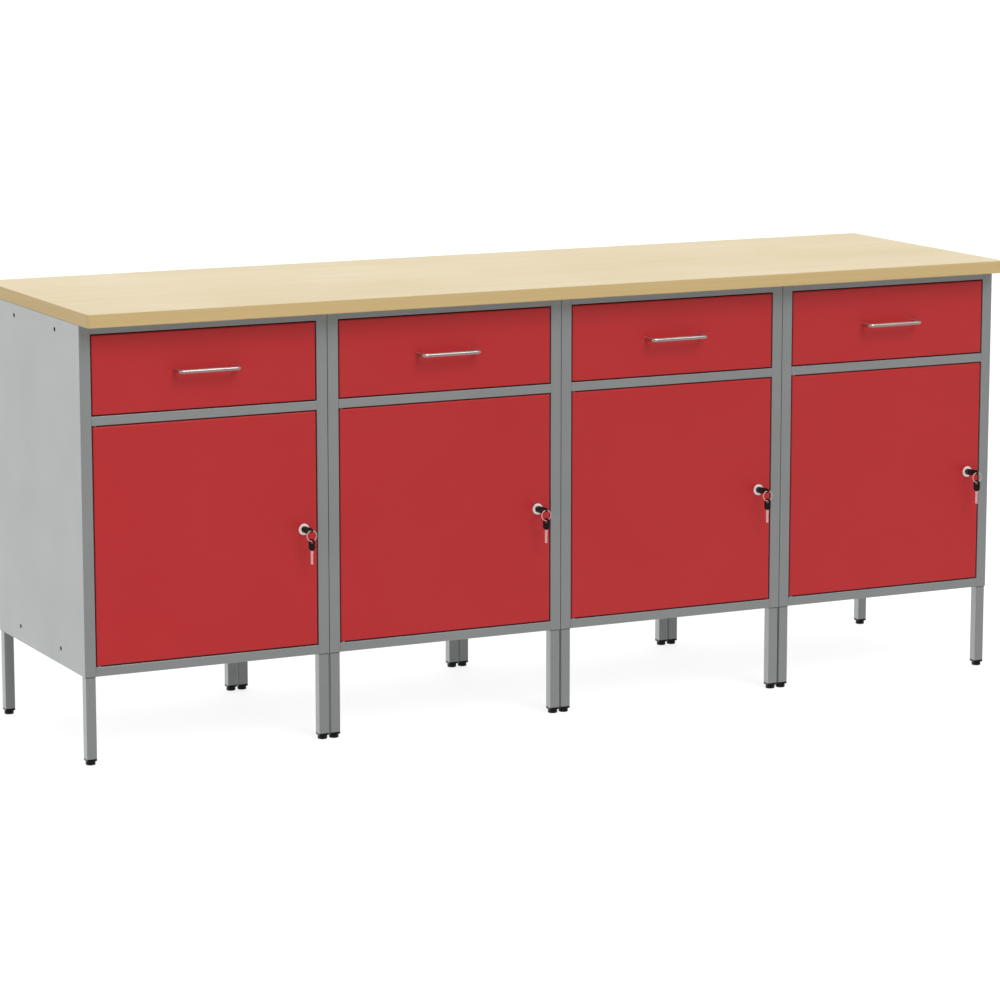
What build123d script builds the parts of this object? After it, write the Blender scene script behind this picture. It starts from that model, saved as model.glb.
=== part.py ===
"""Workbench with four steel cabinets, each with a drawer over a locking door, under one wooden worktop.

Millimetres. +X to the right, +Y to the back, +Z up. The origin is on the floor under the worktop's centre.
"""

from build123d import *
import os

os.makedirs("parts", exist_ok=True)

# Worktop
worktop_length = 2000.0
worktop_depth = 600.0
worktop_thickness = 25.0
total_height = 860.0
front_overhang = 50.0
worktop_corner = 9.0
worktop_roundover = 2.0

# Cabinets
cabinet_count = 4
cabinet_gap = 1.0
body_depth = 490.0
body_bottom = 170.0
sheet = 1.2
weld_gap = 0.1
cut_over = 1.0

# Front frame
post_width = 22.0
frame_depth = 20.0
top_rail_height = 17.5
middle_rail_height = 17.5
bottom_rail_height = 18.0
drawer_opening_height = 154.0
frame_edge_radius = 1.0

# Legs and glides
leg_size = 20.0
leg_wall = 1.5
leg_corner = 1.5
leg_side_inset = 1.5
leg_end_inset = 1.0
glide_pad_height = 8.0
glide_pad_radius = 9.5
glide_pad_fillet = 1.6
glide_collar_height = 4.0
glide_insert_height = 15.0
glide_insert_play = 0.1

# Red fronts
front_gap = 2.2
front_depth = 18.0
front_edge_radius = 2.5
return_lip = 14.0

# Drawer
drawer_length = 420.0
drawer_side_height = 120.0
drawer_lift = 8.5
drawer_sheet = 1.0
drawer_half_width = 214.0

# Telescopic runners
runner_height = 34.0
runner_lift = 19.5
runner_wall = 1.2
runner_front_gap = 2.0
runner_tail = 20.0
runner_web = 227.0
runner_flange_tip = 216.0
slide_flange_tip = 224.3
slide_play = 1.2
slide_length = 400.0
spacer_radius = 6.0
spacer_reach = 150.0

# Handle
rod_radius = 4.0
handle_centres = 120.0
handle_projection = 28.0
handle_bend = 7.0
handle_screw_radius = 2.0
handle_screw_grip = 10.0
handle_screw_head = (4.0, 2.2)

# Door hinge
hinge_offset = 6.0
pin_radius = 2.5
pin_bore_radius = 2.56
pin_hole_radius = 2.6
pin_head_radius = 4.4
pin_head_height = 2.0
pin_engagement = 12.0
hinge_boss_radius = 4.6
hinge_collar_height = 1.8

# Cam lock
lock_from_edge = 27.0
barrel_radius = 9.5
bezel_radius = 11.0
bezel_height = 1.6
barrel_tail = 0.5
lock_bore_radius = 6.1
plug_radius = 6.04
lock_hole_play = 0.1
lock_nut_flats = 22.0
lock_nut_height = 4.0
plug_recess = 0.6
keyway = (2.6, 8.0, 15.0)
cam_length = 40.0
cam_width = 14.0
cam_thickness = 3.0
cam_behind_frame = 1.4
cam_screw_radius = 3.5
cam_screw_height = 3.0

# Keys and key ring
blade = (2.2, 7.4, 13.0)
key_thickness = 3.0
key_edge_radius = 0.6
key_head_start = 2.6
key_head_radius = 7.0
key_eye_radius = 4.0
key_eye_reach = 38.0
key_eye_rise = 4.0
key_hole_radius = 1.9
ring_radius = 10.0
wire_radius = 0.8
ring_play = 0.4
spare_turn = 60.0
spare_thickness = 2.4
spare_head = (14.0, 23.0)
spare_head_corner = 6.4
spare_hole_radius = 3.2
spare_strip = 3.0
spare_play = 0.5
spare_blade = (2.0, 4.8, 26.0)
bit_cut_depth = 1.0
bit_cut_width = 3.0
bit_cut_pitch = 5.0
bit_cut_count = 4

# Shelf
shelf_top = 420.0
shelf_depth = 426.0
shelf_height = 18.0
shelf_side_play = 2.3
shelf_back_play = 2.0
clip_reach = 12.0
clip_height = 16.0
clip_width = 16.0
clip_sheet = 1.5
clip_inset = 40.0

# Fasteners
joining_hole_radius = 4.5
joining_bolt_radius = 4.0
joining_nut_bore = 4.05
joining_flats = 13.0
joining_head_height = 5.3
joining_nut_height = 6.5
joining_bolt_tail = 2.5
joining_depth_shares = (0.27, 0.74)
joining_below_top = 22.0
joining_above_bottom = 31.0
worktop_screw_radius = 2.0
worktop_screw_head = (4.0, 2.4)
worktop_screw_depth = 14.0
worktop_screw_spread = 150.0
screw_hole_play = 0.3

# Places that follow from the sizes above
body_top = total_height - worktop_thickness
body_height = body_top - body_bottom
front = front_overhang - worktop_depth / 2
back = front + body_depth
pitch = worktop_length / cabinet_count
half_body = (pitch - cabinet_gap) / 2
half_inside = half_body - sheet
half_opening = half_body - post_width
frame_back = front + frame_depth
centres = [(index + 0.5) * pitch - worktop_length / 2 for index in range(cabinet_count)]
seams = [(left + right) / 2 for left, right in zip(centres, centres[1:])]

top_rail = (body_top - top_rail_height, body_top)
drawer_opening = (top_rail[0] - drawer_opening_height, top_rail[0])
middle_rail = (drawer_opening[0] - middle_rail_height, drawer_opening[0])
bottom_rail = (body_bottom, body_bottom + bottom_rail_height)
door_opening = (bottom_rail[1], middle_rail[0])

half_front = half_opening - front_gap
skin_back = front + sheet
pan_back = front + front_depth
door_z = (door_opening[0] + front_gap, door_opening[1] - front_gap)
drawer_front_z = (drawer_opening[0] + front_gap, drawer_opening[1] - front_gap)
handle_z = sum(drawer_front_z) / 2

glide_height = glide_pad_height + glide_collar_height
leg_x = half_body - leg_side_inset - leg_size / 2
leg_front = front + leg_end_inset + leg_size / 2
leg_back = back - leg_end_inset - leg_size / 2
leg_places = [
    (centre + side * leg_x, y)
    for centre in centres
    for side in (-1, 1)
    for y in (leg_front, leg_back)
]

drawer_floor = drawer_opening[0] + drawer_lift
drawer_front_wall = pan_back + weld_gap
drawer_back = drawer_front_wall + drawer_length
runner_bottom = drawer_opening[0] + runner_lift
runner_start = frame_back + runner_front_gap
slide_end = runner_start + slide_length
runner_end = slide_end + runner_tail

pin_x = -half_front + hinge_offset
pin_y = front + hinge_offset
lock_x = half_front - lock_from_edge
lock_z = sum(door_z) / 2
cam_front = frame_back + cam_behind_frame
cam_back = cam_front + cam_thickness
plug_front = front - bezel_height + plug_recess

eye_y = front - key_eye_reach
eye_z = lock_z + key_eye_rise
ring_top_z = eye_z - key_hole_radius + wire_radius + ring_play
ring_z = ring_top_z - ring_radius
ring_bottom_z = ring_z - ring_radius
spare_hole_z = ring_bottom_z + wire_radius + spare_play - spare_hole_radius
spare_head_top = spare_hole_z + spare_hole_radius + spare_strip
spare_head_bottom = spare_head_top - spare_head[1]

shelf_back = back - sheet - shelf_back_play
shelf_front = shelf_back - shelf_depth

joining_places = [
    (front + share * body_depth, z)
    for share in joining_depth_shares
    for z in (body_top - joining_below_top, body_bottom + joining_above_bottom)
]
worktop_screw_places = [
    (centre + x, y)
    for centre in centres
    for x in (-worktop_screw_spread, worktop_screw_spread)
    for y in (-worktop_screw_spread, worktop_screw_spread)
]

LOW = (Align.MIN, Align.MIN, Align.MIN)
UP = (Align.CENTER, Align.CENTER, Align.MIN)


def block(low, high, mode=Mode.ADD):
    """Box between two corners, in the part being built."""
    size = [end - start for start, end in zip(low, high)]
    with Locations(low):
        Box(*size, align=LOW, mode=mode)


def rod(start, direction, radius, length, mode=Mode.ADD):
    """Cylinder from a start point along a direction, in the part being built."""
    with Locations(Plane(origin=start, z_dir=direction)):
        Cylinder(radius, length, align=UP, mode=mode)


def prism(start, direction, flats, length, mode=Mode.ADD):
    """Hexagonal bar from a start point along a direction, in the part being built."""
    with BuildSketch(Plane(origin=start, z_dir=direction)) as outline:
        RegularPolygon(flats / 2, 6, major_radius=False)
    extrude(outline.sketch, amount=length, mode=mode)


# Worktop ---------------------------------------------------------------------------------------


def make_worktop():
    """Laminated board with eased edges and a blind pilot hole for each fixing screw."""
    with BuildPart() as worktop:
        with BuildSketch(Plane.XY.offset(body_top)):
            RectangleRounded(worktop_length, worktop_depth, worktop_corner)
        extrude(amount=worktop_thickness)
        outline = worktop.edges().group_by(Axis.Z)
        fillet(outline[0] + outline[-1], worktop_roundover)
        for x, y in worktop_screw_places:
            pilot = worktop_screw_radius + screw_hole_play / 2
            rod((x, y, body_top), (0, 0, 1), pilot, worktop_screw_depth + cut_over, Mode.SUBTRACT)
    worktop.part.label = "worktop"
    export_step(worktop.part, "parts/worktop.step")


def make_worktop_screws():
    """Pan-head screws from inside each cabinet's top sheet up into the worktop."""
    head_radius, head_height = worktop_screw_head
    shank = sheet + worktop_screw_depth
    with BuildPart() as screws:
        for x, y in worktop_screw_places:
            rod((x, y, body_top - sheet - head_height), (0, 0, 1), head_radius, head_height)
            rod((x, y, body_top - sheet), (0, 0, 1), worktop_screw_radius, shank)
    screws.part.label = "worktop_screws"
    export_step(screws.part, "parts/worktop_screws.step")


# Cabinets --------------------------------------------------------------------------------------


def make_carcass(name, centre):
    """Sheet-steel body: two sides, back, top, drawer divider and floor, spot welded together."""
    left, right = centre - half_inside, centre + half_inside
    inner_left, inner_right = left + weld_gap, right - weld_gap
    inner_back = back - sheet
    with BuildPart() as carcass:
        block((centre - half_body, front, body_bottom), (left, back, body_top))
        block((right, front, body_bottom), (centre + half_body, back, body_top))
        block((inner_left, inner_back, body_bottom), (inner_right, back, body_top))
        for z in (body_bottom, middle_rail[0], body_top - sheet):
            block((inner_left, frame_back, z), (inner_right, inner_back - weld_gap, z + sheet))
        for y, z in joining_places:
            start = (centre - pitch / 2, y, z)
            rod(start, (1, 0, 0), joining_hole_radius, pitch, Mode.SUBTRACT)
        for x, y in worktop_screw_places:
            hole = worktop_screw_radius + screw_hole_play
            start = (x, y, body_top - sheet - cut_over)
            rod(start, (0, 0, 1), hole, sheet + 2 * cut_over, Mode.SUBTRACT)
        corners = carcass.edges().filter_by(Axis.Z).group_by(Axis.Y)[0].sort_by(Axis.X)
        fillet([corners[0], corners[-1]], frame_edge_radius)
    carcass.part.label = name
    export_step(carcass.part, f"parts/{name}.step")


def make_front_frame(name, centre):
    """Two box posts and three box rails round the drawer and the door, with the hinge pin holes."""
    post_box = post_width - sheet
    post_x = half_inside - post_box / 2
    frame_y = front + frame_depth / 2
    rail_start = centre - half_opening + weld_gap
    rail_length = 2 * (half_opening - weld_gap)
    with BuildPart() as frame:
        with BuildSketch(Plane.XY.offset(body_bottom)):
            for x in (centre - post_x, centre + post_x):
                with Locations((x, frame_y)):
                    Rectangle(post_box, frame_depth)
                    Rectangle(post_box - 2 * sheet, frame_depth - 2 * sheet, mode=Mode.SUBTRACT)
        extrude(amount=body_height)
        for low, high in (top_rail, middle_rail, bottom_rail):
            with BuildSketch(Plane.YZ.offset(rail_start)):
                with Locations((frame_y, (low + high) / 2)):
                    Rectangle(frame_depth, high - low)
                    Rectangle(frame_depth - 2 * sheet, high - low - 2 * sheet, mode=Mode.SUBTRACT)
            extrude(amount=rail_length)
        for z in (middle_rail[0], bottom_rail[1] - sheet):
            start = (centre + pin_x, pin_y, z - cut_over)
            rod(start, (0, 0, 1), pin_hole_radius, sheet + 2 * cut_over, Mode.SUBTRACT)
        face_edges = frame.edges().group_by(Axis.Y)[0]
        posts = [edge for edge in face_edges.filter_by(Axis.Z) if edge.length > body_height / 2]
        inner_posts = sorted(posts, key=lambda edge: abs(edge.center().X - centre))[:2]
        fillet(inner_posts + list(face_edges.filter_by(Axis.X)), frame_edge_radius)
    frame.part.label = name
    export_step(frame.part, f"parts/{name}.step")


def make_legs():
    """Four square tubes under each cabinet."""
    inside = leg_size - 2 * leg_wall
    with BuildPart() as legs:
        with BuildSketch(Plane.XY.offset(glide_height)):
            with Locations(leg_places):
                RectangleRounded(leg_size, leg_size, leg_corner)
                Rectangle(inside, inside, mode=Mode.SUBTRACT)
        extrude(amount=body_bottom - glide_height)
    legs.part.label = "legs"
    export_step(legs.part, "parts/legs.step")


def make_glide_feet():
    """Push-in plastic glides: round pad, square collar and the insert inside the tube."""
    insert = leg_size - 2 * leg_wall - 2 * glide_insert_play
    with BuildPart() as feet:
        with BuildSketch(Plane.XY):
            with Locations(leg_places):
                Circle(glide_pad_radius)
        extrude(amount=glide_pad_height)
        fillet(feet.edges().group_by(Axis.Z)[0], glide_pad_fillet)
        with BuildSketch(Plane.XY.offset(glide_pad_height)):
            with Locations(leg_places):
                RectangleRounded(leg_size, leg_size, leg_corner)
        extrude(amount=glide_collar_height)
        with BuildSketch(Plane.XY.offset(glide_height)):
            with Locations(leg_places):
                RectangleRounded(insert, insert, leg_corner)
        extrude(amount=glide_insert_height)
    feet.part.label = "glide_feet"
    export_step(feet.part, "parts/glide_feet.step")


def make_shelves():
    """One loose shelf in each cupboard, a sheet with its four edges folded down."""
    half = half_inside - shelf_side_play
    with BuildPart() as shelves:
        for centre in centres:
            low = (centre - half, shelf_front, shelf_top - shelf_height)
            high = (centre + half, shelf_back, shelf_top)
            block(low, high)
            hollow_low = (low[0] + sheet, low[1] + sheet, low[2] - cut_over)
            hollow_high = (high[0] - sheet, high[1] - sheet, high[2] - sheet)
            block(hollow_low, hollow_high, Mode.SUBTRACT)
        fillet(shelves.edges().group_by(Axis.Z)[-1], frame_edge_radius)
    shelves.part.label = "shelves"
    export_step(shelves.part, "parts/shelves.step")


def make_shelf_clips():
    """Angle clips on the cabinet sides, four under each shelf."""
    ledge = shelf_top - shelf_height - weld_gap
    rows = (shelf_front + clip_inset, shelf_back - clip_inset - clip_width)
    with BuildPart() as clips:
        for centre in centres:
            for side in (-1, 1):
                wall = centre + side * half_inside
                for y in rows:
                    near = min(wall, wall - side * clip_sheet)
                    far = max(wall, wall - side * clip_sheet)
                    block((near, y, ledge - clip_height), (far, y + clip_width, ledge))
                    low_x, high_x = sorted((wall, wall - side * clip_reach))
                    block((low_x, y, ledge - clip_sheet), (high_x, y + clip_width, ledge))
    clips.part.label = "shelf_clips"
    export_step(clips.part, "parts/shelf_clips.step")


def make_joining_bolts():
    """Hexagon bolts through the two side sheets at each seam between cabinets."""
    grip = cabinet_gap + 2 * sheet
    length = grip + joining_nut_height + joining_bolt_tail
    with BuildPart() as bolts:
        for seam in seams:
            start = seam - grip / 2
            for y, z in joining_places:
                head = (start - joining_head_height, y, z)
                prism(head, (1, 0, 0), joining_flats, joining_head_height)
                rod((start, y, z), (1, 0, 0), joining_bolt_radius, length)
    bolts.part.label = "joining_bolts"
    export_step(bolts.part, "parts/joining_bolts.step")


def make_joining_nuts():
    """Hexagon nuts on the joining bolts."""
    with BuildPart() as nuts:
        for seam in seams:
            start = seam + cabinet_gap / 2 + sheet
            for y, z in joining_places:
                prism((start, y, z), (1, 0, 0), joining_flats, joining_nut_height)
                rod((start, y, z), (1, 0, 0), joining_nut_bore, joining_nut_height, Mode.SUBTRACT)
    nuts.part.label = "joining_nuts"
    export_step(nuts.part, "parts/joining_nuts.step")


# Drawers ---------------------------------------------------------------------------------------


def channel(outer, inner_tip, low, high, start, end):
    """C-section along Y: a web at outer with flanges that reach to inner_tip."""
    web_side = 1 if outer > inner_tip else -1
    web = sorted((outer, outer - web_side * runner_wall))
    flange = sorted((outer, inner_tip))
    block((web[0], start, low), (web[1], end, high))
    block((flange[0], start, low), (flange[1], end, low + runner_wall))
    block((flange[0], start, high - runner_wall), (flange[1], end, high))


def make_drawer_runners():
    """Fixed runner members, each on two round spacers from the cabinet side."""
    low, high = runner_bottom, runner_bottom + runner_height
    with BuildPart() as runners:
        for centre in centres:
            for side in (-1, 1):
                web = centre + side * runner_web
                channel(web, centre + side * runner_flange_tip, low, high, runner_start, runner_end)
                for y in (-spacer_reach, spacer_reach):
                    start = (web, y, (low + high) / 2)
                    rod(start, (side, 0, 0), spacer_radius, half_inside - runner_web)
    runners.part.label = "drawer_runners"
    export_step(runners.part, "parts/drawer_runners.step")


def make_drawer_slides(name, centre):
    """Moving runner members, fixed to the drawer's sides and nested in the fixed ones."""
    play = runner_wall + slide_play
    low, high = runner_bottom + play, runner_bottom + runner_height - play
    with BuildPart() as slides:
        for side in (-1, 1):
            web = centre + side * drawer_half_width
            channel(web, centre + side * slide_flange_tip, low, high, runner_start, slide_end)
    slides.part.label = name
    export_step(slides.part, f"parts/{name}.step")


def make_drawer_box(name, centre):
    """Open tray of five sheets: floor, two sides, back and the wall behind the red front."""
    half = drawer_half_width
    side_top = drawer_floor + drawer_side_height
    wall_bottom = drawer_floor + drawer_sheet + weld_gap
    end_half = half - drawer_sheet - weld_gap
    with BuildPart() as box:
        floor_low = (centre - half, drawer_front_wall, drawer_floor)
        block(floor_low, (centre + half, drawer_back, drawer_floor + drawer_sheet))
        for inner, outer in ((half - drawer_sheet, half), (-half, drawer_sheet - half)):
            low = (centre + inner, drawer_front_wall, wall_bottom)
            block(low, (centre + outer, drawer_back, side_top))
        for start in (drawer_front_wall, drawer_back - drawer_sheet):
            low = (centre - end_half, start, wall_bottom)
            block(low, (centre + end_half, start + drawer_sheet, side_top))
    box.part.label = name
    export_step(box.part, f"parts/{name}.step")


def pan(centre, low_z, high_z):
    """Folded front: a skin with four side walls and narrow lips turned in at the back."""
    half = half_front
    block((centre - half, front, low_z), (centre + half, pan_back, high_z))
    inner = half - sheet
    cavity_low = (centre - inner, skin_back, low_z + sheet)
    block(cavity_low, (centre + inner, pan_back - sheet, high_z - sheet), Mode.SUBTRACT)
    window = inner - return_lip
    edge = sheet + return_lip
    window_low = (centre - window, pan_back - 2 * sheet, low_z + edge)
    block(window_low, (centre + window, pan_back + cut_over, high_z - edge), Mode.SUBTRACT)


def make_drawer_front(name, centre):
    """Red folded front with two holes for the handle's screws."""
    with BuildPart() as drawer_front:
        pan(centre, *drawer_front_z)
        hole = handle_screw_radius + screw_hole_play
        for x in (-handle_centres / 2, handle_centres / 2):
            start = (centre + x, front - cut_over, handle_z)
            rod(start, (0, 1, 0), hole, sheet + 2 * cut_over, Mode.SUBTRACT)
        fillet(drawer_front.faces().sort_by(Axis.Y)[0].outer_wire().edges(), front_edge_radius)
    drawer_front.part.label = name
    export_step(drawer_front.part, f"parts/{name}.step")


def make_drawer_handle(name, centre):
    """Bent round bar, with the two screws that hold it from inside the drawer front."""
    left, right = centre - handle_centres / 2, centre + handle_centres / 2
    bar_y = front - handle_projection
    head_radius, head_height = handle_screw_head
    with BuildPart() as handle:
        with BuildLine() as path:
            FilletPolyline(
                (left, front, handle_z),
                (left, bar_y, handle_z),
                (right, bar_y, handle_z),
                (right, front, handle_z),
                radius=handle_bend,
            )
        with BuildSketch(Plane(origin=(left, front, handle_z), z_dir=(0, -1, 0))):
            Circle(rod_radius)
        sweep(path=path.line)
        thread = handle_screw_radius + screw_hole_play / 2
        for x in (left, right):
            hole = (x, front - handle_screw_grip - cut_over, handle_z)
            rod(hole, (0, 1, 0), thread, handle_screw_grip + cut_over, Mode.SUBTRACT)
        for x in (left, right):
            tip = (x, front - handle_screw_grip, handle_z)
            rod(tip, (0, 1, 0), handle_screw_radius, handle_screw_grip + sheet)
            rod((x, skin_back, handle_z), (0, 1, 0), head_radius, head_height)
    handle.part.label = name
    export_step(handle.part, f"parts/{name}.step")


# Doors -----------------------------------------------------------------------------------------


def make_door(name, centre):
    """Red folded door with the lock hole and a hinge tube inside its top and its bottom wall."""
    low_z, high_z = door_z
    tube_length = pin_engagement - sheet
    with BuildPart() as door:
        pan(centre, low_z, high_z)
        for z in (low_z + sheet, high_z - sheet - tube_length):
            rod((centre + pin_x, pin_y, z), (0, 0, 1), hinge_boss_radius, tube_length)
        for z in (low_z, high_z - pin_engagement):
            start = (centre + pin_x, pin_y, z - cut_over)
            bore_length = pin_engagement + 2 * cut_over
            rod(start, (0, 0, 1), pin_bore_radius, bore_length, Mode.SUBTRACT)
        lock = (centre + lock_x, front - cut_over, lock_z)
        hole_depth = sheet + 2 * cut_over
        rod(lock, (0, 1, 0), barrel_radius + lock_hole_play, hole_depth, Mode.SUBTRACT)
        fillet(door.faces().sort_by(Axis.Y)[0].outer_wire().edges(), front_edge_radius)
    door.part.label = name
    export_step(door.part, f"parts/{name}.step")


def make_hinge_pins():
    """A headed pin down from the middle rail and a collared pin up from the bottom rail."""
    reach = front_gap + pin_engagement
    with BuildPart() as pins:
        for centre in centres:
            x = centre + pin_x
            upper_seat = middle_rail[0] + sheet
            rod((x, pin_y, upper_seat), (0, 0, 1), pin_head_radius, pin_head_height)
            rod((x, pin_y, upper_seat), (0, 0, -1), pin_radius, sheet + reach)
            lower_seat = bottom_rail[1] - sheet
            rod((x, pin_y, lower_seat), (0, 0, -1), pin_head_radius, pin_head_height)
            rod((x, pin_y, lower_seat), (0, 0, 1), pin_radius, sheet + reach)
            rod((x, pin_y, bottom_rail[1]), (0, 0, 1), pin_head_radius, hinge_collar_height)
    pins.part.label = "hinge_pins"
    export_step(pins.part, "parts/hinge_pins.step")


def make_lock_body(name, centre):
    """Chromed lock barrel with its bezel in front of the door skin, and the nut behind the skin."""
    x = centre + lock_x
    barrel_back = pan_back + barrel_tail
    with BuildPart() as lock_body:
        rod((x, front - bezel_height, lock_z), (0, 1, 0), bezel_radius, bezel_height)
        fillet(lock_body.edges().group_by(Axis.Y)[0], bezel_height / 2)
        rod((x, front, lock_z), (0, 1, 0), barrel_radius, barrel_back - front)
        bore = (x, front - bezel_height - cut_over, lock_z)
        rod(bore, (0, 1, 0), lock_bore_radius, barrel_back - bore[1] + cut_over, Mode.SUBTRACT)
    with BuildPart() as lock_nut:
        nut = (x, skin_back, lock_z)
        prism(nut, (0, 1, 0), lock_nut_flats, lock_nut_height)
        rod(nut, (0, 1, 0), barrel_radius + lock_hole_play / 2, lock_nut_height, Mode.SUBTRACT)
    with BuildPart() as lock_set:
        add(lock_body.part)
        add(lock_nut.part)
    lock_set.part.label = name
    export_step(lock_set.part, f"parts/{name}.step")


def make_lock_plug(name, centre):
    """Turning plug with its keyway, the cam behind the door and the screw that holds the cam."""
    x = centre + lock_x
    slot_width, slot_height, slot_depth = keyway
    with BuildPart() as plug:
        rod((x, plug_front, lock_z), (0, 1, 0), plug_radius, cam_front - weld_gap - plug_front)
        slot_low = (x - slot_width / 2, plug_front - cut_over, lock_z - slot_height / 2)
        slot_high = (x + slot_width / 2, plug_front + slot_depth, lock_z + slot_height / 2)
        block(slot_low, slot_high, Mode.SUBTRACT)
        with BuildSketch(Plane.XZ.offset(-cam_back)):
            with Locations((x, lock_z + (cam_length - cam_width / 2) / 2)):
                SlotOverall(cam_length + cam_width / 2, cam_width, rotation=90)
        extrude(amount=cam_thickness)
        screw = (x, cam_back + weld_gap, lock_z)
        prism(screw, (0, 1, 0), 2 * cam_screw_radius, cam_screw_height)
    plug.part.label = name
    export_step(plug.part, f"parts/{name}.step")


# Keys ------------------------------------------------------------------------------------------


def make_key(name, centre):
    """Key in the lock: an upright plastic head with an eye at its end, and the blade in the plug."""
    x = centre + lock_x
    head_near = front - key_head_start
    blade_thickness, blade_height, blade_depth = blade
    with BuildPart() as key:
        with BuildSketch(Plane.YZ.offset(x - key_thickness / 2)) as head:
            with Locations((head_near - key_head_radius, lock_z)):
                Circle(key_head_radius)
            with Locations((eye_y, eye_z)):
                Circle(key_eye_radius)
            make_hull()
            with Locations((eye_y, eye_z)):
                Circle(key_hole_radius, mode=Mode.SUBTRACT)
        extrude(amount=key_thickness)
        rims = [face.outer_wire().edges() for face in key.faces().filter_by(Axis.X)]
        fillet(rims[0] + rims[1], key_edge_radius)
        blade_low = (x - blade_thickness / 2, head_near - key_head_radius, lock_z - blade_height / 2)
        blade_high = (x + blade_thickness / 2, plug_front + blade_depth, lock_z + blade_height / 2)
        block(blade_low, blade_high)
    key.part.label = name
    export_step(key.part, f"parts/{name}.step")


def make_key_ring(name, centre):
    """Wire ring through the key's eye, hanging parallel to the door."""
    x = centre + lock_x
    with BuildPart() as ring:
        with BuildSketch(Plane.YZ.offset(x)):
            with Locations((eye_y, ring_top_z)):
                Circle(wire_radius)
        revolve(axis=Axis((x, eye_y, ring_z), (0, 1, 0)))
    ring.part.label = name
    export_step(ring.part, f"parts/{name}.step")


def make_spare_key(name, centre):
    """Second key on the ring: plastic head with its eye at the top, and a cut blade below."""
    head_width, head_height = spare_head
    blade_thickness, blade_width, blade_length = spare_blade
    across = Vector(1, 0, 0).rotate(Axis.Z, -spare_turn)
    outwards = Vector(0, -1, 0).rotate(Axis.Z, -spare_turn)
    key_plane = Plane(origin=(centre + lock_x, eye_y, 0), x_dir=across, z_dir=outwards)
    with BuildPart() as spare:
        with BuildSketch(key_plane.offset(-spare_thickness / 2)):
            with Locations((0, spare_head_top - head_height / 2)):
                RectangleRounded(head_width, head_height, spare_head_corner)
            with Locations((0, spare_hole_z)):
                Circle(spare_hole_radius, mode=Mode.SUBTRACT)
        extrude(amount=spare_thickness)
        with BuildSketch(key_plane.offset(-blade_thickness / 2)):
            with Locations((0, spare_head_bottom - blade_length / 2)):
                Rectangle(blade_width, blade_length)
            for step in range(bit_cut_count):
                cut_z = spare_head_bottom - blade_length + bit_cut_width + step * bit_cut_pitch
                with Locations((blade_width / 2, cut_z)):
                    Rectangle(2 * bit_cut_depth, bit_cut_width, mode=Mode.SUBTRACT)
        extrude(amount=blade_thickness)
    spare.part.label = name
    export_step(spare.part, f"parts/{name}.step")


make_worktop()
make_worktop_screws()
make_legs()
make_glide_feet()
make_shelves()
make_shelf_clips()
make_joining_bolts()
make_joining_nuts()
make_drawer_runners()
make_hinge_pins()

for number, middle in enumerate(centres, start=1):
    make_carcass(f"carcass_{number}", middle)
    make_front_frame(f"front_frame_{number}", middle)
    make_drawer_box(f"drawer_box_{number}", middle)
    make_drawer_front(f"drawer_front_{number}", middle)
    make_drawer_slides(f"drawer_slides_{number}", middle)
    make_drawer_handle(f"drawer_handle_{number}", middle)
    make_door(f"door_{number}", middle)
    make_lock_body(f"lock_body_{number}", middle)
    make_lock_plug(f"lock_plug_{number}", middle)
    make_key(f"key_{number}", middle)
    make_key_ring(f"key_ring_{number}", middle)
    make_spare_key(f"spare_key_{number}", middle)
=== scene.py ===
"""Looks of the workbench with drawers: materials, floor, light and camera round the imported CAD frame.

Metres. +X to the right, +Y to the back, +Z up. The origin is on the floor under the worktop's centre.
"""

import math

import bpy
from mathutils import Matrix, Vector


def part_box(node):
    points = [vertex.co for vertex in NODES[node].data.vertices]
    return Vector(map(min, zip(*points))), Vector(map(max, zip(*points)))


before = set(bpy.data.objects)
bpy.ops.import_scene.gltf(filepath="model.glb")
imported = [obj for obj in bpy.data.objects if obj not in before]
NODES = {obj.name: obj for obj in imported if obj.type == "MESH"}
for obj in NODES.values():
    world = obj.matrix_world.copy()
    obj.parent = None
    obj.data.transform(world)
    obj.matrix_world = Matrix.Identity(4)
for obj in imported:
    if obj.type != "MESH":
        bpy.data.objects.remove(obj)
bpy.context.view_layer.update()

CABINETS = (1, 2, 3, 4)


def colour(red, green, blue):
    return (red, green, blue, 1.0)


def shade(tone, factor):
    """The same colour, darker or lighter."""
    return tuple(part * factor for part in tone[:3]) + (1.0,)


# Colours ---------------------------------------------------------------------------------------

GREY = colour(0.318, 0.333, 0.329)
GREY_WORN = colour(0.58, 0.59, 0.58)
RED = colour(0.393, 0.0158, 0.0178)
RED_WORN = colour(0.52, 0.09, 0.085)

WOOD_LIGHT = colour(0.598, 0.477, 0.246)
WOOD_DARK = colour(0.536, 0.415, 0.200)
WOOD_PLANK = colour(0.620, 0.504, 0.267)
WOOD_PORE = colour(0.36, 0.255, 0.125)
BAND_LIGHT = colour(0.498, 0.368, 0.172)
BAND_DARK = colour(0.461, 0.333, 0.150)
BALANCING_SHEET = colour(0.60, 0.50, 0.36)
GLUE_LINE = colour(0.30, 0.21, 0.10)

ZINC_COOL = colour(0.60, 0.61, 0.62)
ZINC_WARM = colour(0.64, 0.62, 0.57)
ZINC_DULL = colour(0.46, 0.47, 0.48)
ZINC_EDGE = colour(0.78, 0.78, 0.76)
# Painted reflection: the handle colours carry a pink tint of the red drawer fronts
HANDLE_RED_REFLECTION_LIGHT = colour(0.66, 0.57, 0.55)
HANDLE_RED_REFLECTION_DARK = colour(0.57, 0.49, 0.47)
# Painted reflection: the bezel and key ring colours are tinted pink by the red doors they sit on
BEZEL_RED_REFLECTION_LIGHT = colour(0.88, 0.80, 0.78)
BEZEL_RED_REFLECTION_DARK = colour(0.80, 0.73, 0.71)
RING_RED_REFLECTION_LIGHT = colour(0.70, 0.52, 0.50)
RING_RED_REFLECTION_DARK = colour(0.62, 0.46, 0.44)

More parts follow.
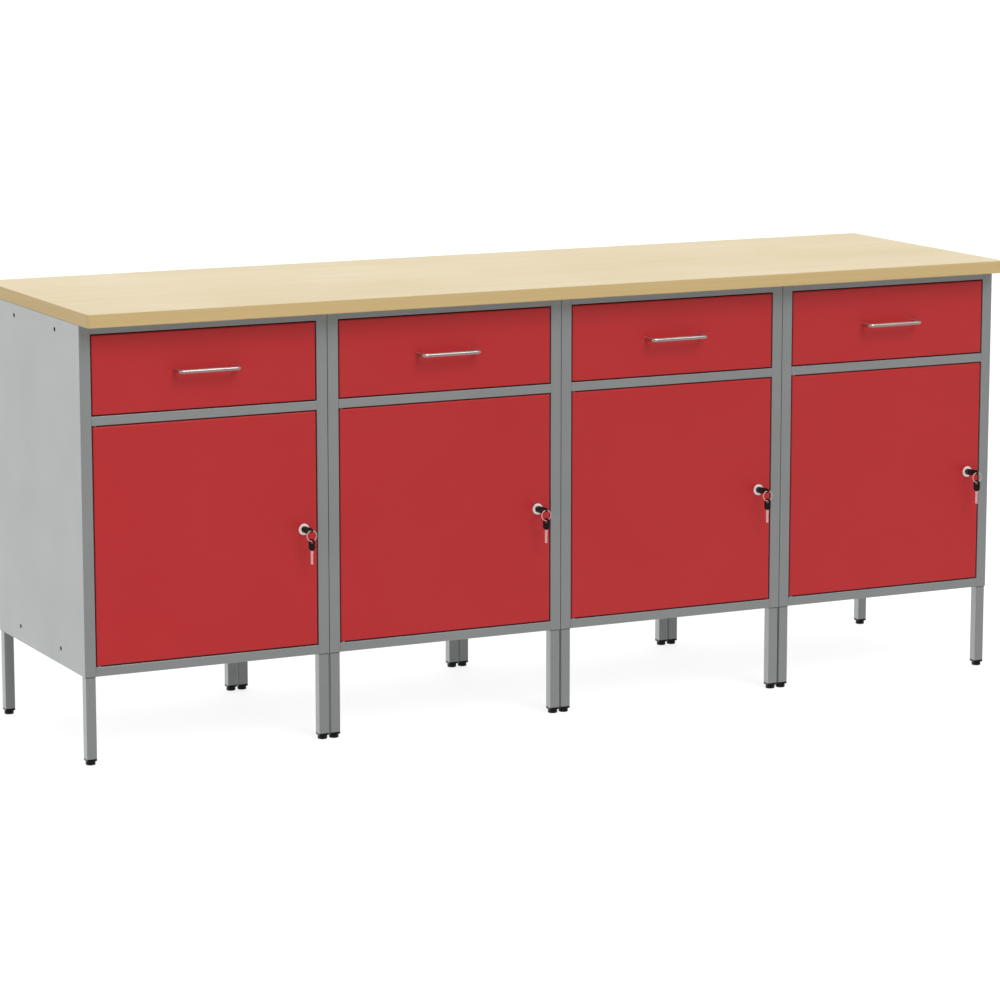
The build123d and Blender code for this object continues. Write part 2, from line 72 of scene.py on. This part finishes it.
CAM_LIGHT = colour(0.66, 0.66, 0.65)
CAM_DARK = colour(0.52, 0.53, 0.54)
PLUG_BLACK = colour(0.008, 0.009, 0.008)
PLUG_BLACK_HAZY = colour(0.016, 0.017, 0.016)
GLIDE_BLACK = colour(0.003, 0.0035, 0.003)
GLIDE_BLACK_HAZY = colour(0.007, 0.0075, 0.007)
GLIDE_EDGE = colour(0.02, 0.02, 0.02)
FLOOR_DUST = colour(0.05, 0.048, 0.045)
HEAD_BLACK = colour(0.004, 0.005, 0.004)
HEAD_BLACK_HAZY = colour(0.008, 0.008, 0.007)
HEAD_EDGE = colour(0.02, 0.02, 0.02)
# Painted reflection: the blade colours are salmon from the red door, not the bare metal's own colour
BLADE_RED_REFLECTION_LIGHT = colour(0.88, 0.58, 0.54)
BLADE_RED_REFLECTION_DARK = colour(0.78, 0.50, 0.46)

# Sizes that the masks follow -------------------------------------------------------------------

WORKTOP_LOW, WORKTOP_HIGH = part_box("worktop")

# The worktop's edge band, seen from the top as a thin line round the laminate
BAND_THICKNESS = 0.0019
CORNER_RADIUS = 0.009
GLUE_LINE_HALF = 0.0003
UNDERSIDE_DEPTH = 0.0004

# Half of the width over which a mask goes from 0 to 1
MASK_SOFTNESS = 0.0001

# Painted shade in the joint between leg and cabinet: above the joint, full to here, gone by here
JOINT_ABOVE = 0.0004
JOINT_FULL = 0.0009
JOINT_GONE = 0.0022

PLUG_FACE_DEPTH = 0.0011
KEY_HEAD_GAP = 0.0026
SPARE_HEAD_HEIGHT = 0.023
SCUFF_HEIGHT = 0.003

# Camera, floor and light -----------------------------------------------------------------------

CAMERA_AIM = Vector((-0.0953, -0.171, 0.4257))
CAMERA_DISTANCE = 7.65
CAMERA_AZIMUTH = -26.13
CAMERA_ELEVATION = 10.06
CAMERA_LENS = 139.0
CAMERA_SENSOR = 36.0
CAMERA_CLIP = (0.1, 200.0)

FLOOR_SIZE = 120.0
FLOOR_COLOUR = colour(0.24, 0.24, 0.24)
FLOOR_GLOW = 0.82

SUN_AZIMUTH = 6.0
SUN_ELEVATION = 40.0
SUN_STRENGTH = 1.82
SUN_ANGLE = 36.0

# The sky's strength in front of the bench and behind it
WORLD_FRONT = 0.17
WORLD_BACK = 1.46
BRIGHT_SIDE = (0.0, 1.0, 0.0)

WHITE = colour(1.0, 1.0, 1.0)


# Node helpers ----------------------------------------------------------------------------------


class Graph:
    """A material's node tree, with short calls for the nodes that the finishes here use."""

    def __init__(self, name):
        self.material = bpy.data.materials.new(name)
        self.material.use_nodes = True
        self.tree = self.material.node_tree
        self.tree.nodes.clear()
        self.out = self.node("ShaderNodeOutputMaterial")
        self.shader = self.node("ShaderNodeBsdfPrincipled")
        self.link(self.shader.outputs["BSDF"], self.out.inputs["Surface"])
        self.place = self.node("ShaderNodeTexCoord").outputs["Object"]

    def node(self, kind, **values):
        made = self.tree.nodes.new(kind)
        for key, value in values.items():
            setattr(made, key, value)
        return made

    def link(self, source, target):
        self.tree.links.new(source, target)

    def put(self, socket, value):
        """Sets a socket to a number or colour, or links another socket to it."""
        if hasattr(value, "is_output"):
            self.link(value, socket)
        else:
            socket.default_value = value

    def set(self, **values):
        """Sets the shader's sockets: underscores stand for spaces."""
        for key, value in values.items():
            self.put(self.shader.inputs[key.replace("_", " ")], value)

    def maths(self, operation, first, second=0.0):
        made = self.node("ShaderNodeMath", operation=operation)
        self.put(made.inputs[0], first)
        self.put(made.inputs[1], second)
        return made.outputs[0]

    def add(self, first, second):
        return self.maths("ADD", first, second)

    def take(self, first, second):
        return self.maths("SUBTRACT", first, second)

    def times(self, first, second):
        return self.maths("MULTIPLY", first, second)

    def vector(self, operation, first, second=(0.0, 0.0, 0.0)):
        made = self.node("ShaderNodeVectorMath", operation=operation)
        self.put(made.inputs[0], first)
        self.put(made.inputs[1], second)
        return made.outputs["Value" if operation in ("DOT_PRODUCT", "LENGTH") else "Vector"]

    def combined(self, x=0.0, y=0.0, z=0.0):
        """A vector of three numbers."""
        made = self.node("ShaderNodeCombineXYZ")
        for socket, value in zip(made.inputs, (x, y, z)):
            self.put(socket, value)
        return made.outputs[0]

    def split(self, source):
        made = self.node("ShaderNodeSeparateXYZ")
        self.link(source, made.inputs[0])
        return made.outputs

    def stretched(self, scale):
        """The object's coordinates times a scale for each axis."""
        return self.vector("MULTIPLY", self.place, scale)

    def noise(self, scale, detail=2.0, roughness=0.5, at=None):
        made = self.node("ShaderNodeTexNoise")
        self.link(at or self.place, made.inputs["Vector"])
        made.inputs["Scale"].default_value = scale
        made.inputs["Detail"].default_value = detail
        made.inputs["Roughness"].default_value = roughness
        return made.outputs["Fac"]

    def ramp(self, source, low, high, start=0.0, end=1.0):
        """source from low..high to start..end, with no value outside them."""
        made = self.node("ShaderNodeMapRange", clamp=True)
        self.put(made.inputs["Value"], source)
        self.put(made.inputs["From Min"], low)
        self.put(made.inputs["From Max"], high)
        self.put(made.inputs["To Min"], start)
        self.put(made.inputs["To Max"], end)
        return made.outputs["Result"]

    def mix(self, factor, first, second):
        """first where factor is 0, second where it is 1."""
        made = self.node("ShaderNodeMix", data_type="RGBA")
        self.put(made.inputs["Factor"], factor)
        for socket, value in ((made.inputs[6], first), (made.inputs[7], second)):
            self.put(socket, value)
        return made.outputs[2]

    def bump(self, height, distance, strength, normal=None):
        made = self.node("ShaderNodeBump")
        made.inputs["Strength"].default_value = strength
        made.inputs["Distance"].default_value = distance
        self.link(height, made.inputs["Height"])
        if normal is not None:
            self.link(normal, made.inputs["Normal"])
        return made.outputs["Normal"]

    def bevelled(self, radius):
        """(normal softened over edges, 0..1 mask of the edges themselves)."""
        made = self.node("ShaderNodeBevel", samples=6)
        made.inputs["Radius"].default_value = radius
        soft = made.outputs["Normal"]
        sharp = self.node("ShaderNodeNewGeometry").outputs["Normal"]
        agree = self.vector("DOT_PRODUCT", soft, sharp)
        return soft, self.ramp(agree, low=0.995, high=0.80)


# Materials -------------------------------------------------------------------------------------


def powder_coat(name, tone, worn, metallic, roughness, specular, flake, joint=None):
    """Powder coat on steel sheet: orange peel, slight sheet waviness, faint cloudiness, and rubbed edges.

    joint is the height of a welded joint, with a painted shade line along it.
    """
    g = Graph(name)
    soft, edge = g.bevelled(0.0006)
    cloud = g.noise(2.3, detail=3.0)
    rub = g.noise(38.0, detail=4.0, roughness=0.65)
    speck = g.noise(1400.0, detail=1.0)
    smear = g.noise(6.0, detail=4.0, roughness=0.6)
    sheet_wave = g.noise(5.5, detail=1.0)
    orange_peel = g.noise(620.0)

    clouded = g.mix(g.ramp(cloud, low=0.3, high=0.7), shade(tone, 0.975), shade(tone, 1.02))
    coat = g.mix(g.times(g.ramp(speck, low=0.5, high=0.8), flake), clouded, worn)
    if joint is not None:
        # Painted shade: darkens the leg just under its joint with the cabinet, in place of the shadow in
        # the set-back joint
        below = g.take(joint, g.split(g.place)[2])
        line = g.times(g.ramp(below, -JOINT_ABOVE, 0.0), g.ramp(below, JOINT_GONE, JOINT_FULL))
        painted_joint_shade = g.times(line, g.ramp(rub, low=0.2, high=0.6, start=0.7, end=0.9))
        coat = g.mix(painted_joint_shade, coat, shade(tone, 0.16))
    rubbed = g.times(edge, g.ramp(rub, low=0.42, high=0.68, start=0.10, end=0.55))
    g.set(Base_Color=g.mix(rubbed, coat, worn), Metallic=metallic, Specular_IOR_Level=specular)

    smeared = g.ramp(smear, low=0.3, high=0.75, start=roughness - 0.03, end=roughness + 0.05)
    g.set(Roughness=g.add(smeared, g.times(rubbed, 0.12)))
    waved = g.bump(sheet_wave, distance=0.0009, strength=0.35, normal=soft)
    g.set(Normal=g.bump(orange_peel, distance=0.00004, strength=0.5, normal=waved))
    return g.material


def distance_from_outline(g, x, y):
    """How far a point of the worktop lies inside its outline, with the rounded corners followed."""
    centre = (WORKTOP_LOW + WORKTOP_HIGH) / 2
    half = (WORKTOP_HIGH - WORKTOP_LOW) / 2
    past_x = g.take(g.maths("ABSOLUTE", g.take(x, centre.x)), half.x - CORNER_RADIUS)
    past_y = g.take(g.maths("ABSOLUTE", g.take(y, centre.y)), half.y - CORNER_RADIUS)
    outside = g.combined(g.maths("MAXIMUM", past_x, 0.0), g.maths("MAXIMUM", past_y, 0.0))
    around = g.vector("LENGTH", outside)
    within = g.maths("MINIMUM", g.maths("MAXIMUM", past_x, past_y), 0.0)
    return g.take(CORNER_RADIUS, g.add(around, within))


def laminate():
    """Light wood laminate with a darker edge band and a plain balancing sheet underneath."""
    g = Graph("worktop_finish")
    x, y, z = g.split(g.place)
    from_edge = distance_from_outline(g, x, y)
    band = g.ramp(from_edge, BAND_THICKNESS + MASK_SOFTNESS, BAND_THICKNESS - MASK_SOFTNESS)
    glue_outer = g.ramp(from_edge, BAND_THICKNESS - GLUE_LINE_HALF, BAND_THICKNESS)
    glue_inner = g.ramp(from_edge, BAND_THICKNESS + GLUE_LINE_HALF, BAND_THICKNESS)
    glue = g.times(glue_outer, glue_inner)
    under = g.maths("LESS_THAN", z, WORKTOP_LOW.z + UNDERSIDE_DEPTH)

    # The grain runs along the worktop and drifts sideways as it goes
    drift = g.noise(1.0, at=g.stretched((0.9, 4.0, 1.0)))
    sideways = g.vector("MULTIPLY", g.combined(drift, drift, drift), (0.0, 6.0, 0.0))
    warped = g.vector("ADD", g.stretched((1.3, 55.0, 55.0)), sideways)
    fibre = g.noise(1.0, detail=6.0, roughness=0.62, at=warped)
    pores = g.noise(1.0, detail=3.0, roughness=0.7, at=g.stretched((14.0, 900.0, 900.0)))
    plank = g.noise(1.0, detail=1.0, at=g.stretched((0.35, 9.0, 1.0)))
    wood = g.mix(g.ramp(fibre, low=0.30, high=0.72), WOOD_LIGHT, WOOD_DARK)
    wood = g.mix(g.ramp(plank, low=0.35, high=0.65, end=0.30), wood, WOOD_PLANK)
    wood = g.mix(g.ramp(pores, low=0.60, high=0.78, end=0.22), wood, WOOD_PORE)

    band_fibre = g.noise(1.0, detail=4.0, roughness=0.6, at=g.stretched((2.4, 2.4, 420.0)))
    band_wood = g.mix(g.ramp(band_fibre, low=0.3, high=0.7), BAND_LIGHT, BAND_DARK)
    banded = g.mix(band, g.mix(under, wood, BALANCING_SHEET), band_wood)
    g.set(Base_Color=g.mix(g.times(glue, 0.45), banded, GLUE_LINE))

    worn = g.noise(3.2, detail=5.0, roughness=0.6)
    scuffs = g.noise(1.0, at=g.stretched((26.0, 210.0, 1.0)))
    gloss = g.ramp(worn, low=0.3, high=0.7, start=0.36, end=0.46)
    gloss = g.add(gloss, g.ramp(scuffs, low=0.62, high=0.75, end=0.06))
    g.set(Roughness=g.add(gloss, g.times(band, 0.12)))
    g.set(Specular_IOR_Level=g.take(0.42, g.times(band, 0.22)))
    soft, _ = g.bevelled(0.0008)
    grain = g.bump(pores, distance=0.00005, strength=0.45, normal=soft)
    g.set(Normal=g.bump(fibre, distance=0.00009, strength=0.35, normal=grain))
    return g.material


def zinc():
    """Bright zinc plating: cloudy patches, two tints and bright edges."""
    g = Graph("zinc_finish")
    soft, edge = g.bevelled(0.0003)
    cloud = g.noise(30.0, detail=4.0, roughness=0.6)
    tint = g.noise(9.0, detail=1.0)
    tone = g.mix(g.ramp(tint, low=0.35, high=0.65), ZINC_COOL, ZINC_WARM)
    tone = g.mix(g.ramp(cloud, low=0.35, high=0.75, end=0.45), tone, ZINC_DULL)
    g.set(Base_Color=g.mix(g.times(edge, 0.4), tone, ZINC_EDGE), Metallic=1.0)
    g.set(Roughness=g.ramp(cloud, low=0.3, high=0.75, start=0.26, end=0.44))
    g.set(Normal=g.bump(g.noise(700.0), distance=0.00002, strength=0.5, normal=soft))
    return g.material


def satin():
    """Brushed satin bar, with fine lines along its length; its pink tint is a painted reflection of the
    red drawer fronts.
    """
    g = Graph("handle_finish")
    lines = g.noise(1.0, detail=3.0, roughness=0.6, at=g.stretched((25.0, 2600.0, 2600.0)))
    cloud = g.noise(24.0, detail=3.0)
    # Painted reflection: both tones are tinted pink by the red paint around the bar
    tone = g.mix(g.ramp(lines, low=0.35, high=0.65), HANDLE_RED_REFLECTION_LIGHT, HANDLE_RED_REFLECTION_DARK)
    g.set(Base_Color=tone, Metallic=1.0)
    hazy = g.ramp(cloud, low=0.3, high=0.7, start=0.31, end=0.39)
    g.set(Roughness=g.add(hazy, g.ramp(lines, low=0.3, high=0.7, start=-0.03, end=0.05)))
    g.set(Normal=g.bump(lines, distance=0.000012, strength=0.6))
    return g.material


def nickel(name, light, dark):
    """Pale nickel with hairline scratches and a little dulling; the pink tint of its colours is a painted
    reflection of the red paint.
    """
    g = Graph(name)
    soft, edge = g.bevelled(0.0002)
    haze = g.noise(90.0, detail=3.0)
    scratch = g.noise(1.0, at=g.stretched((300.0, 300.0, 4000.0)))
    tone = g.mix(g.ramp(haze, low=0.3, high=0.7), light, dark)
    g.set(Base_Color=g.mix(g.times(edge, 0.3), tone, shade(light, 1.06)), Metallic=0.35)
    g.set(Roughness=g.ramp(haze, low=0.3, high=0.7, start=0.30, end=0.42))
    g.set(Normal=g.bump(scratch, distance=0.000006, strength=0.4, normal=soft))
    return g.material


def lock_core(number):
    """The plug's face is black; the cam and its screw behind the door are plated."""
    low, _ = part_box(f"lock_plug_{number}")
    face_back = low.y + PLUG_FACE_DEPTH
    g = Graph(f"lock_core_finish_{number}")
    soft, _ = g.bevelled(0.0002)
    y = g.split(g.place)[1]
    face = g.ramp(y, face_back + MASK_SOFTNESS, face_back - MASK_SOFTNESS)
    cloud = g.noise(60.0, detail=3.0)
    clouded = g.ramp(cloud, low=0.3, high=0.7)
    metal = g.mix(clouded, CAM_LIGHT, CAM_DARK)
    black = g.mix(clouded, PLUG_BLACK, PLUG_BLACK_HAZY)
    g.set(Base_Color=g.mix(face, metal, black), Metallic=g.take(1.0, face))
    g.set(Roughness=g.ramp(cloud, low=0.3, high=0.7, start=0.26, end=0.38), Specular_IOR_Level=0.25)
    g.set(Normal=g.bump(g.noise(900.0), distance=0.00001, strength=0.4, normal=soft))
    return g.material


def glide_plastic():
    """Moulded black plastic, scuffed where it meets the floor."""
    g = Graph("glide_finish")
    soft, edge = g.bevelled(0.0004)
    z = g.split(g.place)[2]
    scuff = g.noise(420.0, detail=4.0, roughness=0.7)
    dust = g.times(g.ramp(z, SCUFF_HEIGHT, 0.0), g.ramp(scuff, low=0.45, high=0.65))
    tone = g.mix(g.noise(120.0), GLIDE_BLACK, GLIDE_BLACK_HAZY)
    tone = g.mix(g.times(edge, 0.25), tone, GLIDE_EDGE)
    g.set(Base_Color=g.mix(g.times(dust, 0.35), tone, FLOOR_DUST), Specular_IOR_Level=0.28)
    dull = g.ramp(scuff, low=0.3, high=0.7, start=0.24, end=0.34)
    g.set(Roughness=g.add(dull, g.times(dust, 0.35)))
    g.set(Normal=g.bump(g.noise(1500.0), distance=0.00003, strength=0.4, normal=soft))
    return g.material


def key_finish(name, axis, start, end):
    """Black moulded key head and a bare blade, tinted salmon as a painted reflection of the red door.
    Along the axis, the blade begins between start and end.
    """
    g = Graph(name)
    soft, edge = g.bevelled(0.0003)
    metal = g.ramp(g.split(g.place)[axis], start, end)
    cloud = g.noise(150.0, detail=3.0)
    clouded = g.ramp(cloud, low=0.3, high=0.7)
    head = g.mix(clouded, HEAD_BLACK, HEAD_BLACK_HAZY)
    head = g.mix(g.times(edge, 0.3), head, HEAD_EDGE)
    # Painted reflection: the blade's salmon tint stands in for the red door reflected in it
    blade = g.mix(clouded, BLADE_RED_REFLECTION_LIGHT, BLADE_RED_REFLECTION_DARK)
    g.set(Base_Color=g.mix(metal, head, blade), Metallic=g.times(metal, 0.6))
    dull = g.ramp(cloud, low=0.3, high=0.7, start=0.42, end=0.52)
    g.set(Roughness=g.add(dull, g.times(metal, -0.10)), Specular_IOR_Level=0.22)
    g.set(Normal=g.bump(g.noise(1300.0), distance=0.00002, strength=0.4, normal=soft))
    return g.material


def paint(names, material):
    """Puts a material in every slot of these CAD nodes."""
    for name in names:
        mesh = NODES[name].data
        if not mesh.materials:
            mesh.materials.append(material)
        for slot in range(len(mesh.materials)):
            mesh.materials[slot] = material


def each(*stems):
    """The names of the CAD nodes that begin with one of these."""
    return [name for name in NODES if name.startswith(stems)]


grey_coat = {
    "tone": GREY, "worn": GREY_WORN, "metallic": 0.60, "roughness": 0.40, "specular": 0.40, "flake": 0.10,
}
red_coat = {
    "tone": RED, "worn": RED_WORN, "metallic": 0.0, "roughness": 0.36, "specular": 0.40, "flake": 0.02,
}
cabinet_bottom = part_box("carcass_1")[0].z
zinc_plated = each(
    "worktop_screws", "shelf_clips", "joining", "drawer_runners", "drawer_slides", "hinge_pins",
)

paint(["worktop"], laminate())
paint(each("carcass", "front_frame", "drawer_box", "shelves"), powder_coat("grey_finish", **grey_coat))
paint(each("drawer_front", "door_"), powder_coat("red_finish", **red_coat))
paint(["legs"], powder_coat("leg_finish", joint=cabinet_bottom, **grey_coat))
paint(zinc_plated, zinc())
paint(each("drawer_handle"), satin())
paint(each("lock_body"), nickel("bezel_finish", BEZEL_RED_REFLECTION_LIGHT, BEZEL_RED_REFLECTION_DARK))
paint(each("key_ring"), nickel("key_ring_finish", RING_RED_REFLECTION_LIGHT, RING_RED_REFLECTION_DARK))
paint(["glide_feet"], glide_plastic())

for number in CABINETS:
    paint([f"lock_plug_{number}"], lock_core(number))
    head_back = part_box(f"door_{number}")[0].y - KEY_HEAD_GAP
    key_blade = (1, head_back - MASK_SOFTNESS, head_back + MASK_SOFTNESS)
    paint([f"key_{number}"], key_finish(f"key_finish_{number}", *key_blade))
    head_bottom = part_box(f"spare_key_{number}")[1].z - SPARE_HEAD_HEIGHT
    spare_blade = (2, head_bottom + MASK_SOFTNESS, head_bottom - MASK_SOFTNESS)
    paint([f"spare_key_{number}"], key_finish(f"spare_key_finish_{number}", *spare_blade))


# Floor, light and camera -----------------------------------------------------------------------


def make_floor():
    """Plain pale floor. It glows a little, so that it stays near white and its shadows stay faint."""
    mesh = bpy.data.meshes.new("studio_floor")
    half = FLOOR_SIZE / 2
    corners = [(-half, -half, 0.0), (half, -half, 0.0), (half, half, 0.0), (-half, half, 0.0)]
    mesh.from_pydata(corners, [], [(0, 1, 2, 3)])
    floor = bpy.data.objects.new("studio_floor", mesh)
    bpy.context.scene.collection.objects.link(floor)
    g = Graph("studio_floor_finish")
    tone = g.mix(g.noise(3.0, detail=3.0), shade(FLOOR_COLOUR, 0.995), shade(FLOOR_COLOUR, 1.005))
    g.set(Base_Color=tone, Roughness=0.75, Specular_IOR_Level=0.2)
    g.set(Emission_Color=WHITE, Emission_Strength=FLOOR_GLOW)
    mesh.materials.append(g.material)
    floor.visible_glossy = False


def make_sun():
    """Wide soft key light. Its azimuth and elevation say where it stands, as for the camera."""
    data = bpy.data.lights.new("key_light", "SUN")
    data.energy = SUN_STRENGTH
    data.angle = math.radians(SUN_ANGLE)
    light = bpy.data.objects.new("key_light", data)
    light.rotation_euler = (math.radians(90.0 - SUN_ELEVATION), 0.0, math.radians(SUN_AZIMUTH))
    bpy.context.scene.collection.objects.link(light)


def make_world():
    """Studio sky: brighter behind the bench than in front of it."""
    world = bpy.data.worlds.new("studio")
    world.use_nodes = True
    tree = world.node_tree
    tree.nodes.clear()
    out = tree.nodes.new("ShaderNodeOutputWorld")
    background = tree.nodes.new("ShaderNodeBackground")
    place = tree.nodes.new("ShaderNodeTexCoord")
    along = tree.nodes.new("ShaderNodeVectorMath")
    level = tree.nodes.new("ShaderNodeMapRange")
    along.operation = "DOT_PRODUCT"
    along.inputs[1].default_value = BRIGHT_SIDE
    level.clamp = True
    level.inputs["From Min"].default_value = -1.0
    level.inputs["From Max"].default_value = 1.0
    level.inputs["To Min"].default_value = WORLD_FRONT
    level.inputs["To Max"].default_value = WORLD_BACK
    background.inputs["Color"].default_value = WHITE
    tree.links.new(place.outputs["Generated"], along.inputs[0])
    tree.links.new(along.outputs["Value"], level.inputs["Value"])
    tree.links.new(level.outputs["Result"], background.inputs["Strength"])
    tree.links.new(background.outputs[0], out.inputs["Surface"])
    bpy.context.scene.world = world


def make_camera():
    """Camera at the photo's angle: in front of the bench, to its left and a little above it."""
    data = bpy.data.cameras.new("camera")
    data.sensor_width = CAMERA_SENSOR
    data.lens = CAMERA_LENS
    data.clip_start, data.clip_end = CAMERA_CLIP
    camera = bpy.data.objects.new("camera", data)
    azimuth, elevation = math.radians(CAMERA_AZIMUTH), math.radians(CAMERA_ELEVATION)
    level = math.cos(elevation)
    outwards = Vector((math.sin(azimuth) * level, -math.cos(azimuth) * level, math.sin(elevation)))
    camera.location = CAMERA_AIM + outwards * CAMERA_DISTANCE
    camera.rotation_euler = (math.pi / 2 - elevation, 0.0, azimuth)
    bpy.context.scene.collection.objects.link(camera)
    bpy.context.scene.camera = camera


make_floor()
make_world()
make_sun()
make_camera()

scene = bpy.context.scene
scene.view_settings.view_transform = "Standard"
scene.view_settings.look = "None"
scene.view_settings.exposure = 0.0
